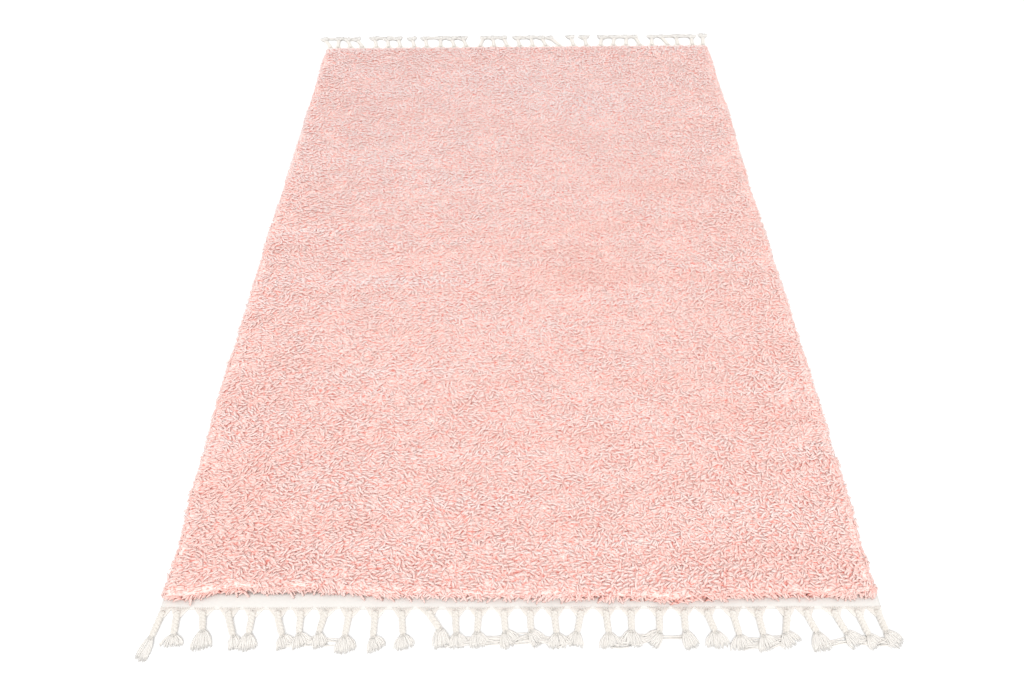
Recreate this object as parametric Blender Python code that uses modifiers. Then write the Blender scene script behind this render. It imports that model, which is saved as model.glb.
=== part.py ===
"""A shag rug lying flat: a pink pile on a woven ground, with a cream heading band and a comb of
plaited tassels at each short end.

The rug lies on z = 0 and is centred on the origin. Its width runs along X and its length along Y,
from the near end at -Y to the far end at +Y.
"""

import math
from collections import namedtuple

import bmesh
import bpy
import numpy as np

MM = 0.001
GAP = 0.3 * MM            # between two pieces that touch

# The mat
RUG_WIDTH = 1.600
PILE_LENGTH = 2.236       # ground cloth and pile, without the headings
PILE_HEIGHT = 0.030
PILE_SHOULDER = 0.012     # how far the pile falls away round its top rim
SHOULDER_SEGMENTS = 3
CORNER_RADIUS = 0.012
CORNER_STEPS = 3
SIDE_STEP = 0.060         # between two points of a long edge
RIPPLES = ((1.4 * MM, 0.31, 0.6), (0.9 * MM, 0.17, 2.1))   # height, wave length and phase

# The headings
BAND_WIDTH = 0.025
BAND_THICKNESS = 0.003
BAND_LEFT = -0.796
BAND_RIGHT = 0.802
BAND_STEPS = 12
BAND_BOW = 0.8 * MM       # how far a heading's outer edge waves

# The fringes
SPINE_DEPTH = 0.0035      # warp ends between the tassels, along the heading
ROOT_RADIUS = 0.012       # of the arches between two tassels
ROOT_ANGLES = (0, 45, 90)
PLAIT_HALF = 0.0082
PLAIT_EASE = 1.3          # a plait leaves the heading straight and then leans
TUFT_TIP = 1.06           # a tuft's longest yarns, as a share of its length

# How far along a long edge, and how far each long edge stands out of a straight line
SideRow = namedtuple("SideRow", "along_m left_out_mm right_out_mm")
SIDES = (
    SideRow(-1.118, -3, 0),
    SideRow(-1.010, -7, -3),
    SideRow(-0.890, 0, 2),
    SideRow(-0.600, 6, 3),
    SideRow(-0.250, 3, 1),
    SideRow(0.000, 4, 0),
    SideRow(0.200, 0, -4),
    SideRow(0.450, -3, -1),
    SideRow(0.600, -4, 4),
    SideRow(0.850, -6, 0),
    SideRow(1.118, -5, 0),
)

# A tassel's profile: share of the plait or tuft from its root, and share of its half width
WidthRow = namedtuple("WidthRow", "share half")
PLAIT_PROFILE = (WidthRow(0.40, 1.00), WidthRow(0.75, 0.96), WidthRow(1.00, 0.72))
TUFT_PROFILE = (WidthRow(0.30, 0.78), WidthRow(0.70, 1.00), WidthRow(1.00, 0.84))

# A comb's height over the floor, by how far it is out from the heading
HeapRow = namedtuple("HeapRow", "out_mm height_mm")
HEAP = (HeapRow(0, 3.4), HeapRow(4, 3.8), HeapRow(14, 9.5), HeapRow(48, 9.5), HeapRow(62, 8), HeapRow(95, 4.5))

# The tassels from left to right, in mm: where a root is, how far a plait leans to the right and how
# long it is, and the same of its tuft, with the tuft's full width
Tassel = namedtuple("Tassel", "root plait_lean plait_long tuft_lean tuft_long tuft_wide")
NEAR_TASSELS = (
    Tassel(-788, -9, 58, -12, 50, 22),
    Tassel(-755, 6, 53, 2, 26, 38),
    Tassel(-698, 10, 44, 8, 42, 36),
    Tassel(-642, 24, 55, 9, 28, 20),
    Tassel(-587, 1, 51, 6, 36, 30),
    Tassel(-533, 22, 55, 11, 26, 30),
    Tassel(-480, 4, 51, 12, 28, 34),
    Tassel(-426, -8, 49, 10, 32, 24),
    Tassel(-372, -4, 56, 5, 36, 32),
    Tassel(-315, 1, 58, 14, 28, 32),
    Tassel(-257, 8, 54, 9, 30, 32),
    Tassel(-199, 30, 41, 9, 42, 28),
    Tassel(-138, 4, 51, 6, 32, 28),
    Tassel(-86, -3, 49, 7, 32, 32),
    Tassel(-31, 4, 47, 18, 30, 34),
    Tassel(27, 1, 45, 22, 30, 26),
    Tassel(80, 4, 52, 1, 32, 34),
    Tassel(139, -11, 49, -8, 30, 26),
    Tassel(194, 3, 51, 4, 32, 36),
    Tassel(249, -2, 46, -4, 34, 34),
    Tassel(311, -4, 48, -28, 25, 26),
    Tassel(366, -3, 46, 15, 38, 26),
    Tassel(415, 13, 48, 2, 36, 38),
    Tassel(472, 7, 56, 5, 32, 40),
    Tassel(527, 3, 56, 11, 30, 38),
    Tassel(593, -15, 50, 15, 28, 34),
    Tassel(632, 15, 50, 6, 40, 32),
    Tassel(694, 16, 50, 22, 27, 28),
    Tassel(746, 10, 56, 15, 24, 24),
    Tassel(790, 6, 48, 25, 30, 24),
)
FAR_TASSELS = (
    Tassel(-781, -28, 54, -20, 36, 28),
    Tassel(-751, -4, 56, -3, 40, 24),
    Tassel(-696, -20, 52, -12, 38, 24),
    Tassel(-646, -28, 54, -14, 38, 30),
    Tassel(-587, -14, 57, -9, 40, 34),
    Tassel(-536, -10, 55, -7, 40, 34),
    Tassel(-486, -14, 56, -10, 38, 34),
    Tassel(-427, -13, 53, -9, 41, 34),
    Tassel(-374, -11, 56, -7, 38, 32),
    Tassel(-317, -4, 58, -2, 40, 40),
    Tassel(-259, -13, 55, -8, 38, 36),
    Tassel(-208, -14, 54, -10, 40, 36),
    Tassel(-150, 10, 56, 6, 38, 24),
    Tassel(-91, -6, 55, -5, 40, 28),
    Tassel(-36, -14, 57, -9, 36, 30),
    Tassel(18, -10, 54, -7, 40, 34),
    Tassel(72, -6, 56, -4, 38, 36),
    Tassel(127, -14, 55, -10, 36, 28),
    Tassel(185, -32, 53, -16, 36, 24),
    Tassel(244, -8, 57, -6, 38, 30),
    Tassel(298, -5, 55, -3, 40, 36),
    Tassel(356, 10, 54, 6, 38, 36),
    Tassel(410, 8, 56, 5, 36, 36),
    Tassel(464, 7, 55, 4, 38, 34),
    Tassel(522, -12, 56, -8, 36, 24),
    Tassel(572, 6, 54, 4, 38, 30),
    Tassel(639, -16, 56, -8, 36, 24),
    Tassel(680, 3, 55, 2, 40, 30),
    Tassel(742, 4, 53, 3, 40, 34),
    Tassel(787, 8, 56, 8, 44, 34),
)

# Colours in linear light
PINK = (0.80, 0.52, 0.47, 1.0)
CREAM = (0.80, 0.74, 0.66, 1.0)


def clear_scene():
    for thing in list(bpy.data.objects):
        bpy.data.objects.remove(thing, do_unlink=True)


def make_material(name, colour):
    material = bpy.data.materials.new(name)
    material.use_nodes = True
    shader = material.node_tree.nodes["Principled BSDF"]
    shader.inputs["Base Color"].default_value = colour
    shader.inputs["Roughness"].default_value = 0.95
    shader.inputs["Metallic"].default_value = 0.0
    return material


def flat_outline(name, points, thickness, material, collection):
    """A flat piece of an even thickness on z = 0, as a filled and extruded 2D curve."""
    curve = bpy.data.curves.new(name, "CURVE")
    curve.dimensions = "2D"
    curve.fill_mode = "BOTH"
    curve.extrude = thickness / 2
    spline = curve.splines.new("POLY")
    spline.points.add(len(points) - 1)
    for slot, (x, y) in zip(spline.points, points):
        slot.co = (x, y, 0.0, 1.0)
    spline.use_cyclic_u = True
    curve.materials.append(material)
    piece = bpy.data.objects.new(name, curve)
    piece.location.z = thickness / 2
    collection.objects.link(piece)
    return piece


def as_mesh(piece, collection):
    """The same piece as a mesh in world space, with its caps joined to its walls."""
    bpy.context.view_layer.update()
    evaluated = piece.evaluated_get(bpy.context.evaluated_depsgraph_get())
    mesh = bpy.data.meshes.new_from_object(evaluated)
    mesh.transform(piece.matrix_world)
    name = piece.name
    bpy.data.objects.remove(piece, do_unlink=True)
    solid = bpy.data.objects.new(name, mesh)
    collection.objects.link(solid)
    form = bmesh.new()
    form.from_mesh(mesh)
    bmesh.ops.remove_doubles(form, verts=form.verts, dist=GAP / 10)
    form.to_mesh(mesh)
    form.free()
    return solid


def side_out(along, column):
    """How far a long edge stands out at a place along it, with its fine ripples."""
    steady = np.interp(along, [row.along_m for row in SIDES], [getattr(row, column) for row in SIDES])
    ripple = sum(height * math.sin(math.tau * along / wave + phase) for height, wave, phase in RIPPLES)
    return steady * MM + ripple


def mat_outline():
    """The mat's four rounded corners and its two uneven long edges, anticlockwise."""
    end = PILE_LENGTH / 2
    steps = round((PILE_LENGTH - 2 * CORNER_RADIUS) / SIDE_STEP)
    runs = np.linspace(-end + CORNER_RADIUS, end - CORNER_RADIUS, steps + 1)
    right = [(RUG_WIDTH / 2 + side_out(y, "right_out_mm"), y) for y in runs]
    left = [(-RUG_WIDTH / 2 - side_out(y, "left_out_mm"), y) for y in reversed(runs)]

    def corner(edge, toward):
        """The round from a long edge's end to the short edge, without the edge's own point."""
        x, y = edge
        points = []
        for step in range(1, CORNER_STEPS + 1):
            turn = math.pi / 2 * step / CORNER_STEPS
            points.append((x - math.copysign(CORNER_RADIUS, x) * (1 - math.cos(turn)),
                           y + toward * CORNER_RADIUS * math.sin(turn)))
        return points

    far_right = corner(right[-1], 1)
    far_left = corner(left[0], 1)
    near_left = corner(left[-1], -1)
    near_right = corner(right[0], -1)
    return right + far_right + far_left[::-1] + left + near_left + near_right[::-1]


def make_pile(collection):
    """The ground cloth and its pile: one flat mat with a rounded top rim."""
    material = make_material("pile_yarn", PINK)
    piece = flat_outline("rug_pile", mat_outline(), PILE_HEIGHT, material, collection)
    solid = as_mesh(piece, collection)
    form = bmesh.new()
    form.from_mesh(solid.data)
    inner = [edge for edge in form.edges if all(abs(face.normal.z) > 0.5 for face in edge.link_faces)]
    bmesh.ops.dissolve_edges(form, edges=inner, use_verts=False)
    weight = form.edges.layers.float.new("bevel_weight_edge")
    for edge in form.edges:
        if min(vertex.co.z for vertex in edge.verts) > PILE_HEIGHT / 2:
            edge[weight] = 1.0
    form.to_mesh(solid.data)
    form.free()
    rim = solid.modifiers.new("rounded rim", "BEVEL")
    rim.limit_method = "WEIGHT"
    rim.width = PILE_SHOULDER
    rim.segments = SHOULDER_SEGMENTS
    solid.data.shade_smooth()
    return solid


def make_band(name, toward, collection):
    """A heading: a strip of flat weave along the mat's end, with a slightly waving outer edge."""
    inner = toward * (PILE_LENGTH / 2 + GAP)
    outer = toward * (PILE_LENGTH / 2 + GAP + BAND_WIDTH)
    points = [(BAND_LEFT, inner)]
    for step in range(BAND_STEPS + 1):
        share = step / BAND_STEPS
        bow = BAND_BOW * (math.cos(math.tau * 2.5 * share) - 1)
        points.append((BAND_LEFT + (BAND_RIGHT - BAND_LEFT) * share, outer + toward * bow))
    points.append((BAND_RIGHT, inner))
    material = make_material(name + "_weave", CREAM)
    return flat_outline(name, points, BAND_THICKNESS, material, collection)


def root_rows(room):
    """The arch from the spine to a plait's side: how far out, and how far from the middle."""
    radius = max(min(ROOT_RADIUS, room - PLAIT_HALF), 0.5 * MM)
    turns = [math.radians(angle) for angle in ROOT_ANGLES]
    return [(radius * (1 - math.cos(turn)), PLAIT_HALF + radius * (1 - math.sin(turn))) for turn in turns]


def tassel_outline(tassel, room_left, room_right):
    """A tassel's edge from its left root round its tip to its right root, as (x, out) pairs."""
    root = tassel.root * MM
    plait_long, plait_lean = tassel.plait_long * MM, tassel.plait_lean * MM
    tuft_long, tuft_lean = tassel.tuft_long * MM, tassel.tuft_lean * MM
    tie = np.array((root + plait_lean, SPINE_DEPTH + plait_long))
    stations = []
    for row in PLAIT_PROFILE:
        place = np.array((root + plait_lean * row.share ** PLAIT_EASE, SPINE_DEPTH + plait_long * row.share))
        stations.append((place, PLAIT_HALF * row.half))
    for row in TUFT_PROFILE:
        place = tie + np.array((tuft_lean, tuft_long)) * row.share
        stations.append((place, tassel.tuft_wide * MM / 2 * row.half))
    tip = tie + np.array((tuft_lean, tuft_long)) * TUFT_TIP

    places = [np.array((root, SPINE_DEPTH))] + [place for place, half in stations] + [tip]
    left = [(root - away, SPINE_DEPTH + out) for out, away in root_rows(room_left)]
    right = [(root + away, SPINE_DEPTH + out) for out, away in root_rows(room_right)]
    for index, (place, half) in enumerate(stations, start=1):
        along = places[index + 1] - places[index - 1]
        across = np.array((along[1], -along[0])) / np.linalg.norm(along)
        left.append(tuple(place - across * half))
        right.append(tuple(place + across * half))
    return left + [tuple(tip)] + right[::-1]


def make_fringe(name, tassels, toward, collection):
    """A comb: a thin spine along the heading's edge and one plaited, tied tassel after another."""
    start = PILE_LENGTH / 2 + BAND_WIDTH + 2 * GAP
    roots = [tassel.root * MM for tassel in tassels]
    halfway = [(a + b) / 2 for a, b in zip(roots, roots[1:])]
    borders = [BAND_LEFT - GAP] + halfway + [BAND_RIGHT + GAP]
    points = [(borders[0], 0.0)]
    for tassel, root, left, right in zip(tassels, roots, borders, borders[1:]):
        points += tassel_outline(tassel, root - left - GAP, right - root - GAP)
    points.append((borders[-1], 0.0))
    outline = [(x, toward * (start + out)) for x, out in points]

    material = make_material(name + "_yarn", CREAM)
    height = max(row.height_mm for row in HEAP) * MM
    solid = as_mesh(flat_outline(name, outline, height, material, collection), collection)
    for vertex in solid.data.vertices:
        if vertex.co.z > height / 2:
            out = (abs(vertex.co.y) - start) / MM
            tops = [row.height_mm for row in HEAP]
            vertex.co.z = np.interp(out, [row.out_mm for row in HEAP], tops) * MM
    return solid


def main():
    clear_scene()
    collection = bpy.data.collections.new("shag_rug")
    bpy.context.scene.collection.children.link(collection)
    make_pile(collection)
    make_band("band_near", -1, collection)
    make_band("band_far", 1, collection)
    make_fringe("fringe_near", NEAR_TASSELS, -1, collection)
    make_fringe("fringe_far", FAR_TASSELS, 1, collection)


main()
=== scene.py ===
# %% [markdown]
# # A pink shag rug with plaited tassels
#
# The real rug starts as a loom full of cream warp threads. A plain cream weave makes the heading
# at each end, pink yarn is knotted in row by row between the headings, and the warp ends that are
# left over are plaited into tassels. This lesson makes it in that order: the woven cloth, the
# pile, the headings and the fringe. The frame comes first, because it says how big everything is.

# %% Load the frame
import math
from collections import namedtuple

import bmesh
import bpy
import numpy as np
from mathutils import Matrix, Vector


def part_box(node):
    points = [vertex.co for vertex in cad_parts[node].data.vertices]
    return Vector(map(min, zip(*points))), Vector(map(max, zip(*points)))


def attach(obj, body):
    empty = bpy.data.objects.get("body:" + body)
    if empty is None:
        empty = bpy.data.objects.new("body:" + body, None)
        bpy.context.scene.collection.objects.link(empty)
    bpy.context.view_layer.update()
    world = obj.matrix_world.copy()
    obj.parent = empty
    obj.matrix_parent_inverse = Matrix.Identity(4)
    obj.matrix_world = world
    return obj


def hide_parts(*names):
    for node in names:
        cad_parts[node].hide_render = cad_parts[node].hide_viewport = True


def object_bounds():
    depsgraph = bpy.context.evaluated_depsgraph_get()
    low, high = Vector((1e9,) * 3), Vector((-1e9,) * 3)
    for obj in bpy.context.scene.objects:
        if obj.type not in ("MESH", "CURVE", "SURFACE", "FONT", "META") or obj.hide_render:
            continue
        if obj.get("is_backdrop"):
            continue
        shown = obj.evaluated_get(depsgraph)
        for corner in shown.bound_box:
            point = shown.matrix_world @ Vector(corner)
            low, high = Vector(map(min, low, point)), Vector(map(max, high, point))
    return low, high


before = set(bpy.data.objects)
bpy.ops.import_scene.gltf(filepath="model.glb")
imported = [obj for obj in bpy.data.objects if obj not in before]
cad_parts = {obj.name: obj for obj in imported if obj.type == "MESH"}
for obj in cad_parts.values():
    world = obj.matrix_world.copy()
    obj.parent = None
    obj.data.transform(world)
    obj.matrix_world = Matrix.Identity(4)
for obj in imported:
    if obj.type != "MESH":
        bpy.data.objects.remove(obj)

cad_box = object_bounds()
print("the frame's box, in metres:", [tuple(round(x, 3) for x in corner) for corner in cad_box])

# %% [markdown]
# The frame's own solids are plain, but they are in the right places. The mat's solid gives the
# uneven line of each long edge, so the pile can follow it, and the solids at the ends give the
# lines where the headings stop and the tassels start.

# %% Read the rug's measures from the frame
MM = 0.001
mat_low, mat_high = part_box("rug_pile")
tape_low, tape_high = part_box("band_near")
HALF_LENGTH = mat_high.y  # from the middle of the rug to the end of its cloth
PILE_TOP = mat_high.z
TAPE_LEFT, TAPE_RIGHT = tape_low.x, tape_high.x
TAPE_EDGE = -tape_low.y  # a heading's outer edge, from the middle of the rug
TAPE_THICK = tape_high.z
CORNER = 5 * MM  # the ends of a long edge, left out of its line
outline = np.array([v.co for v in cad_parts["rug_pile"].data.vertices if v.co.z < MM])
outline = outline[np.abs(outline[:, 1]) < HALF_LENGTH - CORNER]
long_sides = {}
for side in (-1, 1):
    points = outline[outline[:, 0] * side > 0]
    long_sides[side] = points[np.argsort(points[:, 1])]


def side_line(side, y):
    """Where the mat's left (-1) or right (1) edge runs, at these places along the rug."""
    line = long_sides[side]
    return np.interp(y, line[:, 1], line[:, 0])


print(f"mat {mat_high.x - mat_low.x:.3f} x {2 * HALF_LENGTH:.3f} m, pile {PILE_TOP / MM:.0f} mm")

# %% [markdown]
# The camera stands at one end of the rug at eye level and looks down on it through a wide lens,
# so the far end looks much narrower than the near one. It is a hair out of level, as a camera
# held in the hands is. A camera looks down its own -Z, so it is tilted about X, then turned.

# %% Camera
CAMERA_PLACE = (0.003, -1.569, 1.569)
CAMERA_DOWN, CAMERA_TURN, CAMERA_ROLL = 53.38, 0.83, -0.95  # degrees
CAMERA_LENS = 24  # mm

camera_data = bpy.data.cameras.new("eye level")
camera_data.lens = CAMERA_LENS
camera = bpy.data.objects.new("eye level", camera_data)
camera.matrix_world = (
    Matrix.Translation(CAMERA_PLACE)
    @ Matrix.Rotation(math.radians(CAMERA_TURN), 4, "Z")
    @ Matrix.Rotation(math.radians(90 - CAMERA_DOWN), 4, "X")
    @ Matrix.Rotation(math.radians(CAMERA_ROLL), 4, "Z")
)
bpy.context.scene.collection.objects.link(camera)
bpy.context.scene.camera = camera
print("camera", CAMERA_LENS, "mm at", CAMERA_PLACE)

# %% [markdown]
# Materials come next. A material's maths reads best as plain expressions, so one small class
# wraps a socket and turns +, -, * and ** into Math nodes. Every other node comes from one method,
# which sets the node's type and settings first and then its inputs.


# %% Maths on sockets
class Value:
    """A number or colour on its way through a material."""

    def __init__(self, finish, socket):
        self.finish, self.socket = finish, socket

    def maths(self, operation, *others):
        numbers = dict(enumerate((self, *others)))
        return self.finish.node("ShaderNodeMath", {"operation": operation}, numbers)

    def __add__(self, other):
        return self.maths("ADD", other)

    def __sub__(self, other):
        return self.maths("SUBTRACT", other)

    def __mul__(self, other):
        return self.maths("MULTIPLY", other)

    def __pow__(self, other):
        return self.maths("POWER", other)

    def sine(self):
        return self.maths("SINE")


print("maths on sockets works")


# %% A material in the making
class Finish:
    """A material in the making: its Principled shader, and one method that adds any node."""

    def __init__(self, name, **constants):
        self.material = bpy.data.materials.new(name)
        self.material.use_nodes = True
        self.tree = self.material.node_tree
        self.shader = self.tree.nodes["Principled BSDF"]
        for socket, value in constants.items():
            self.shader.inputs[socket.replace("_", " ")].default_value = value

    def node(self, kind, settings=None, inputs=None, output=0):
        """Adds a node and gives one of its outputs. stops, among the settings, are a ramp's."""
        made = self.tree.nodes.new(kind)
        for key, value in (settings or {}).items():
            if key == "stops":
                self.set_stops(made.color_ramp, value)
            else:
                setattr(made, key, value)
        for key, value in (inputs or {}).items():
            if isinstance(value, Value):
                self.tree.links.new(value.socket, made.inputs[key])
            else:
                made.inputs[key].default_value = value
        return Value(self, made.outputs[output])

    def set_stops(self, ramp, stops):
        while len(ramp.elements) < len(stops):
            ramp.elements.new(1.0)
        for element, (place, colour) in zip(ramp.elements, stops):
            element.position, element.color = place, (*colour, 1.0)

    def attribute(self, name):
        return self.node("ShaderNodeAttribute", {"attribute_name": name}, output=2)

    def mixed(self, factor, first, second):
        """The first colour where the factor is 0, the second where it is 1."""
        first, second = (c if isinstance(c, Value) else (*c, 1.0) for c in (first, second))
        inputs = {0: factor, 6: first, 7: second}
        return self.node("ShaderNodeMix", {"data_type": "RGBA"}, inputs, output=2)

    def place(self):
        """The piece's own coordinates, in metres."""
        return self.node("ShaderNodeTexCoord", output=3)

    def noise(self, scale, detail, stretch=(1, 1, 1)):
        """Noise on the piece's own coordinates, scale in lumps a metre."""
        place = self.node("ShaderNodeMapping", inputs={"Vector": self.place(), "Scale": stretch})
        inputs = {"Vector": place, "Scale": scale, "Detail": detail}
        return self.node("ShaderNodeTexNoise", inputs=inputs)

    def feed(self, socket, value):
        """Joins a varying value or colour to the shader's socket."""
        self.tree.links.new(value.socket, self.shader.inputs[socket])

    def bump(self, height, strength, distance):
        """Small relief that is too fine to model."""
        inputs = {"Height": height, "Strength": strength, "Distance": distance}
        self.feed("Normal", self.node("ShaderNodeBump", inputs=inputs))


print("materials can be made")

# %% [markdown]
# The pile yarn is a thick soft polyester, twisted from two plies. Its tips are a pale blush. Down
# in the pile and on its underside it is painted coral, as painted shade for where light only comes
# after many bounces from yarn to yarn. Each yarn carries four numbers: how far a point is along it
# and round it, how light that yarn is, and how rosy. They are stored on the mesh, so tens of
# thousands of yarns share one material.

# %% Pile yarn finish
# painted shade, down in the pile and on each yarn's underside
CORAL_SHADE = (0.90, 0.41, 0.35)
ROSE_BODY = (0.955, 0.67, 0.61)  # the darkest yarns
BLUSH_TIP = (0.97, 0.83, 0.795)  # the lightest yarns where the rug is rosy
GREY_BLUSH = (0.96, 0.845, 0.835)  # and where it is greyer
PILE_SHEEN = (1.0, 0.72, 0.67, 1.0)
UNDERSIDE_SHADE_SLOPE, UNDERSIDE_SHADE_MIDDLE = 0.6, 0.65  # how fast the coral painted shade gives way from underside to top
ROOT_SHADE_SLOPE, ROOT_SHADE_START = 3, 0.5  # the same painted shade, from root to tip
PILE_TWISTS, PLIES = 7, 2  # turns of the plies along one yarn

pile_finish = Finish("pile_yarn", Roughness=0.92, Sheen_Weight=0.45, Sheen_Roughness=0.6)
pile_finish.shader.inputs["Sheen Tint"].default_value = PILE_SHEEN
along, light, rosy, round_it = map(pile_finish.attribute, ("along", "light", "rosy", "round_it"))
tip_colour = pile_finish.mixed(rosy, GREY_BLUSH, BLUSH_TIP)
body_colour = pile_finish.mixed(light, ROSE_BODY, tip_colour)
# Painted shade: coral on each yarn's underside and towards its root.
underside_shade_mix = (round_it * math.tau).sine() * UNDERSIDE_SHADE_SLOPE + UNDERSIDE_SHADE_MIDDLE
underside_shaded_colour = pile_finish.mixed(underside_shade_mix, CORAL_SHADE, body_colour)
yarn_colour = pile_finish.mixed(along * ROOT_SHADE_SLOPE - ROOT_SHADE_START, CORAL_SHADE, underside_shaded_colour)
pile_finish.feed("Base Color", yarn_colour)
twist = (along * PILE_TWISTS + round_it * PLIES) * math.tau
pile_finish.bump(twist.sine(), 0.2, 0.4 * MM)
print("pile yarn finish made")

# %% [markdown]
# The ground cloth, headings and tassels are unbleached cotton. The weave is a fine rib, too small
# to model thread by thread, so it is a bump made of two waves at the pitch of the threads, with
# noise for slubs and for the faint greying that cotton takes on.

# %% Cotton finishes
COTTON = (0.72, 0.70, 0.67)
COTTON_SHADE = (0.68, 0.64, 0.585)  # between slubs, and the painted shade on the plaits
COTTON_PALE = (0.78, 0.765, 0.74)  # the slubs
COTTON_BRIGHT = (0.86, 0.82, 0.77)  # painted light on the fringe's open ends
THREAD_PITCH = 2.6 * MM
THREADS_CLOSER = 1.6  # the threads across are this much closer together
SLUB_SCALE, GREYING_SCALE = 420, 22  # lumps a metre
FRINGE_TWISTS, FRINGE_PLIES = 18, 3


def woven_cotton(name):
    finish = Finish(name, Roughness=0.95, Sheen_Weight=0.15)
    axes = finish.node("ShaderNodeSeparateXYZ", inputs={0: finish.place()})
    x, y = (Value(finish, axes.socket.node.outputs[axis]) for axis in (0, 1))
    pace = math.tau / THREAD_PITCH
    weave = (x * pace).sine() * (y * (pace * THREADS_CLOSER)).sine()
    slubs = finish.noise(SLUB_SCALE, detail=3, stretch=(0.25, 1.0, 1.0))
    grey = finish.noise(GREYING_SCALE, detail=3)
    colour = finish.mixed(slubs ** 0.5, COTTON_SHADE, COTTON_PALE)
    finish.feed("Base Color", finish.mixed(grey, colour, COTTON))
    finish.bump(weave * 0.5 + slubs, 0.4, 0.3 * MM)
    return finish


tape_finish = woven_cotton("heading_weave")

fringe_finish = Finish("fringe_yarn", Roughness=0.93, Sheen_Weight=0.45, Sheen_Roughness=0.6)
along, light, round_it = map(fringe_finish.attribute, ("along", "light", "round_it"))
fringe_finish.feed("Base Color", fringe_finish.mixed(light, COTTON_SHADE, COTTON_BRIGHT))
twist = (along * FRINGE_TWISTS + round_it * FRINGE_PLIES) * math.tau
fringe_finish.bump(twist.sine(), 0.2, 0.15 * MM)
print("cotton finishes made")

# %% [markdown]
# The floor and the light are a plain bright studio: a pale floor, an even white sky that fills
# the shadows, and one large soft sun, high in front and a little to the left, which gives each
# yarn a light and a dark side.

# %% Studio
SKY_STRENGTH, SUN_STRENGTH, SUN_ANGLE = 1.04, 1.24, 50
SUN_FROM = (30, 5)  # degrees from straight up: to the front, to the left
FLOOR_SIZE, FLOOR_COLOUR = 14, (0.93, 0.93, 0.93, 1)

bpy.context.scene.view_settings.view_transform = "Standard"
sky = bpy.data.worlds.new("white studio")
sky.use_nodes = True
background = sky.node_tree.nodes["Background"]
background.inputs["Color"].default_value = (1, 1, 1, 1)
background.inputs["Strength"].default_value = SKY_STRENGTH
bpy.context.scene.world = sky
sun_data = bpy.data.lights.new("soft sun", "SUN")
sun_data.energy, sun_data.angle = SUN_STRENGTH, math.radians(SUN_ANGLE)
sun = bpy.data.objects.new("soft sun", sun_data)
sun.rotation_euler = (math.radians(SUN_FROM[0]), math.radians(-SUN_FROM[1]), 0)
bpy.context.scene.collection.objects.link(sun)


def add_object(name, form, finishes):
    """A bmesh as an object at the origin, with its materials."""
    mesh = bpy.data.meshes.new(name)
    form.to_mesh(mesh)
    form.free()
    for finish in finishes:
        mesh.materials.append(finish.material)
    piece = bpy.data.objects.new(name, mesh)
    bpy.context.scene.collection.objects.link(piece)
    return piece


floor_finish = Finish("floor", Roughness=0.9, Base_Color=FLOOR_COLOUR)
form = bmesh.new()
bmesh.ops.create_grid(form, x_segments=1, y_segments=1, size=FLOOR_SIZE / 2)
floor = add_object("floor", form, [floor_finish])
floor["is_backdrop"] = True
print("studio ready")

# %% [markdown]
# The ground cloth is the one piece that holds all the rest: a stiff woven sheet as wide and long
# as the pile. It is a flat grid whose long edges follow the mat's uneven lines, and it is extruded
# down to the floor. Only its back can be seen, since the pile hides the rest.

# %% Ground cloth
CLOTH_THICK = 3 * MM
CLOTH_ROWS = 60
TAPE_UNDER = 14 * MM  # how far each heading runs in under the pile
LIFT = 0.1 * MM  # off the floor, so that the two never share a plane
SELVEDGE = 8 * MM  # how far the pile stands out past the cloth's long edges


def sheet_form(columns, rows, place):
    """A closed sheet that lies on the floor: a grid with each point moved by place(u, v), u and v
    from 0 to 1, which is then extruded down."""
    form = bmesh.new()
    bmesh.ops.create_grid(form, x_segments=columns, y_segments=rows, size=0.5)
    for vertex in form.verts:
        vertex.co = place(vertex.co.x + 0.5, vertex.co.y + 0.5)
    lower = bmesh.ops.extrude_face_region(form, geom=form.faces[:])["geom"]
    lower = [v for v in lower if isinstance(v, bmesh.types.BMVert)]
    for vertex in lower:
        vertex.co.z = LIFT
    bmesh.ops.recalc_face_normals(form, faces=form.faces)
    return form


def cloth_place(u, v):
    y = (v - 0.5) * 2 * (HALF_LENGTH - TAPE_UNDER)
    left, right = side_line(-1, y) + SELVEDGE, side_line(1, y) - SELVEDGE
    return (left + (right - left) * u, y, CLOTH_THICK + LIFT)


cloth = add_object("ground_cloth", sheet_form(4, CLOTH_ROWS, cloth_place), [tape_finish])
print("ground cloth", len(cloth.data.polygons), "faces")

# %% [markdown]
# A yarn is a long thin tube. One straight yarn is modelled with operators: a cylinder is cut into
# rings with bisect_plane and its end is drawn together to a point. Its height counts rings, so a
# vertex at height 2 belongs to ring 2. Copies are laid along lines later: each ring goes to a
# line's point, turned across the line and scaled to the yarn's thickness there. They are worked
# out as arrays, all at once. A yarn has only a few faces, since there are so many yarns.


# %% A straight yarn
TINY = 1e-12  # keeps a division by nothing away
NEAR_AXIS = 0.5  # a vertex closer to the axis than this is the tip


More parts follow.
